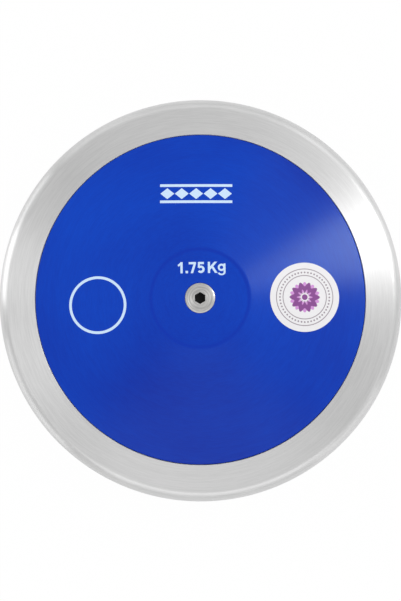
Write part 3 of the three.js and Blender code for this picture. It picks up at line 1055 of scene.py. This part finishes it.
ornament = bmesh.new()
for i in range(LOZENGE_COUNT):
    offset = (i - (LOZENGE_COUNT - 1) / 2) * LOZENGE_PITCH
    place = Matrix.Translation((ORNAMENT_CENTRE.x + offset, ORNAMENT_CENTRE.y, 0))
    size = Matrix.Diagonal((*LOZENGE_HALF, 1, 1))
    bmesh.ops.create_circle(ornament, cap_ends=True, segments=4, radius=1, matrix=place @ size)
for offset in (-RULE_OFFSET, RULE_OFFSET):
    place = Matrix.Translation((ORNAMENT_CENTRE.x, ORNAMENT_CENTRE.y + offset, 0))
    size = Matrix.Diagonal((RULE_LENGTH / 2, RULE_WIDTH / 2, 1, 1))
    bmesh.ops.create_grid(ornament, x_segments=1, y_segments=1, size=1, matrix=place @ size)
ornament = laid_on_plate(sliced(ornament, STRIP_WIDTH), PRINT_THICKNESS)
as_piece("ornament", raised(ornament), [pale_ink], "white_vinyl")

# The round label
# A disc of white vinyl stuck on the right of the upper plate, printed with two thin rings, a
# band of dots and a plain rosette in purple.
LABEL_BOND = 0.05 * MM
LABEL_THICKNESS = 0.19 * MM
LABEL_STEPS = 144
LABEL_BANDS = 24
PRINT_BLUR = 0.06
RING_RADII = (11.3, 14.7)
RING_LINE = 0.42
PAPER = (0.85, 0.84, 0.86, 1)
PAPER_AGED = (0.81, 0.80, 0.815, 1)
RING_TONE = (0.27, 0.22, 0.26, 1)
PURPLE = (0.22, 0.035, 0.25, 1)
VIOLET = (0.62, 0.27, 0.66, 1)
PETALS = 10
PETAL_CIRCLE = 4.9
PETAL_HALF = 1.9
PETAL_SWING = 1.1
ROSETTE_HUB = 1.5
DOT_CIRCLE = 12.9
DOT_RADIUS = 0.45
DOTS = 48
AGING_PER_MM = 0.4
label_low, label_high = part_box("round_label")
label_centre = ((label_low + label_high) / 2).xy
label_radius = (label_high.y - label_low.y) / 2
vinyl = Finish("printed_white_vinyl", {"Roughness": 0.42, "Specular IOR Level": 0.5})
x, y, z = vinyl.place()
across = x - label_centre.x / MM
along = y - label_centre.y / MM
spread = (across * across + along * along).math("SQRT")
bearing = along.math("ARCTAN2", across)
inner_ring, outer_ring = [within(spread - ring, RING_LINE / 2, PRINT_BLUR) for ring in RING_RADII]
petal_wave = (bearing * PETALS).math("COSINE") * PETAL_SWING
dark_petals = within(spread - (PETAL_CIRCLE + petal_wave), PETAL_HALF, PRINT_BLUR * 2)
light_petals = within(spread - (PETAL_CIRCLE - petal_wave), PETAL_HALF, PRINT_BLUR * 2)
hub = within(spread, ROSETTE_HUB, PRINT_BLUR)
dot_step = math.tau / DOTS
dot_bearing = bearing.math("PINGPONG", dot_step / 2) * DOT_CIRCLE
dot_offset = spread - DOT_CIRCLE
dot_spread = (dot_bearing * dot_bearing + dot_offset * dot_offset).math("SQRT")
dots = within(dot_spread, DOT_RADIUS, PRINT_BLUR)
aging = vinyl.noise(x * AGING_PER_MM, y * AGING_PER_MM, z * AGING_PER_MM)
paper = vinyl.mixed(aging, PAPER, PAPER_AGED)
inked = vinyl.mixed(inner_ring + outer_ring, paper, RING_TONE)
inked = vinyl.mixed(dots, inked, RING_TONE)
inked = vinyl.mixed(light_petals, inked, VIOLET)
inked = vinyl.mixed(dark_petals, inked, PURPLE)
vinyl.feed("Base Color", vinyl.mixed(hub, inked, PURPLE))
label = flat_round(0, label_radius, label_centre, LABEL_STEPS, LABEL_BANDS)
label = laid_on_plate(label, LABEL_THICKNESS, LABEL_BOND)
as_piece("vinyl_label", raised(label), [vinyl], "white_vinyl", "round_label")

# The studio
# A broad floor of pale matt paint that shows nearly white to the camera, a white sky, ten soft
# lamps that face the discus, and a camera almost straight above it.
FLOOR_HALF = 8.0
FLOOR_DROP = 0.1 * MM
FLOOR_GREY = (0.9, 0.9, 0.9, 1)
FLOOR_WHITENESS = 0.985
FLOOR_WHITENESS_IN_METAL = 0.25
floor_paint = Finish(
    "pale_floor",
    {"Base Color": FLOOR_GREY, "Roughness": 0.8, "Specular IOR Level": 0.2},
)
in_view, in_gloss, in_glass = [
    floor_paint.node("ShaderNodeLightPath", {}, output=ray)
    for ray in ("Is Camera Ray", "Is Glossy Ray", "Is Transmission Ray")
]
whiteness = in_view * FLOOR_WHITENESS + (in_gloss + in_glass) * FLOOR_WHITENESS_IN_METAL
paint = Wire(floor_paint, floor_paint.shader.outputs["BSDF"])
glow = floor_paint.node("ShaderNodeEmission", {}, Color=(1, 1, 1, 1), Strength=1.0)
lit = floor_paint.node("ShaderNodeMixShader", {}, whiteness, paint, glow)
floor_paint.connect(floor_paint.tree.nodes["Material Output"].inputs["Surface"], lit)
ground = bmesh.new()
floor_place = Matrix.Translation((0, 0, -FLOOR_DROP))
bmesh.ops.create_grid(ground, x_segments=1, y_segments=1, size=FLOOR_HALF, matrix=floor_place)
floor = bpy.data.objects.new("floor", as_mesh(ground))
floor.data.materials.append(floor_paint.material)
bpy.context.scene.collection.objects.link(floor)

WORLD_STRENGTH = 0.64
world = bpy.data.worlds.new("studio")
bpy.context.scene.world = world
world.use_nodes = True
sky = world.node_tree.nodes["Background"]
sky.inputs["Color"].default_value = (1, 1, 1, 1)
sky.inputs["Strength"].default_value = WORLD_STRENGTH

LAMP_DISTANCE = 1.2


def facing(across, direction):
    """The turn of a lamp or camera whose width runs across and whose back points in a direction."""
    columns = Matrix((across, direction.cross(across), direction))
    return columns.transposed().to_euler()


def lamp(name, bearing_degrees, off_zenith_degrees, width, height, radiance):
    """A softbox that faces the discus from a bearing and an angle off straight up."""
    bearing_turn = Matrix.Rotation(math.radians(bearing_degrees), 3, "Z")
    tilt = math.radians(off_zenith_degrees)
    direction = bearing_turn @ Vector((math.sin(tilt), 0, math.cos(tilt)))
    light = bpy.data.lights.new(name, "AREA")
    light.shape = "RECTANGLE"
    light.size = width
    light.size_y = height
    light.energy = radiance * math.pi * width * height
    holder = bpy.data.objects.new(name, light)
    bpy.context.scene.collection.objects.link(holder)
    holder.location = middle + direction * LAMP_DISTANCE
    holder.rotation_euler = facing(bearing_turn @ Vector((0, 1, 0)), direction)
    holder.visible_camera = False


lamp("key_softbox", 24, 36, 0.25, 0.35, 9.8)
lamp("right_softbox", 48, 45, 0.5, 1.2, 0.4)
lamp("far_softbox", 82, 52, 0.9, 0.6, 0.35)
lamp("far_left_softbox", 120, 68, 0.5, 0.4, 0.5)
lamp("left_low_softbox", 151, 74, 0.5, 0.4, 1.0)
lamp("left_strip", 168, 70, 0.4, 0.9, 1.25)
lamp("near_left_softbox", 207, 84, 0.8, 0.35, 0.8)
lamp("near_softbox", 272, 39, 1.2, 0.8, 0.6)
lamp("near_right_strip", 322, 72, 0.6, 0.35, 0.6)
lamp("near_right_softbox", 350, 38, 0.5, 0.5, 0.25)

CAMERA_DISTANCE = 1.3
CAMERA_TILT = math.radians(2.9)
CAMERA_LEAN = math.radians(0.64)
CAMERA_AIM = middle + Vector((0, -0.24, 0)) * MM
RIM_PIXELS = 200.85
FRAME_PIXELS = 401
SENSOR = 36.0
camera_data = bpy.data.cameras.new("camera")
camera_data.sensor_fit = "HORIZONTAL"
camera_data.sensor_width = SENSOR
camera_data.lens = RIM_PIXELS / FRAME_PIXELS * SENSOR * CAMERA_DISTANCE / rim_high.x
camera = bpy.data.objects.new("camera", camera_data)
bpy.context.scene.collection.objects.link(camera)
towards_camera = Vector((math.sin(CAMERA_LEAN), -math.sin(CAMERA_TILT), math.cos(CAMERA_TILT)))
towards_camera.normalize()
sideways = Vector((0, 1, 0)).cross(towards_camera).normalized()
camera.location = CAMERA_AIM + towards_camera * CAMERA_DISTANCE
camera.rotation_euler = facing(sideways, towards_camera)
bpy.context.scene.camera = camera
bpy.context.scene.view_settings.view_transform = "Standard"
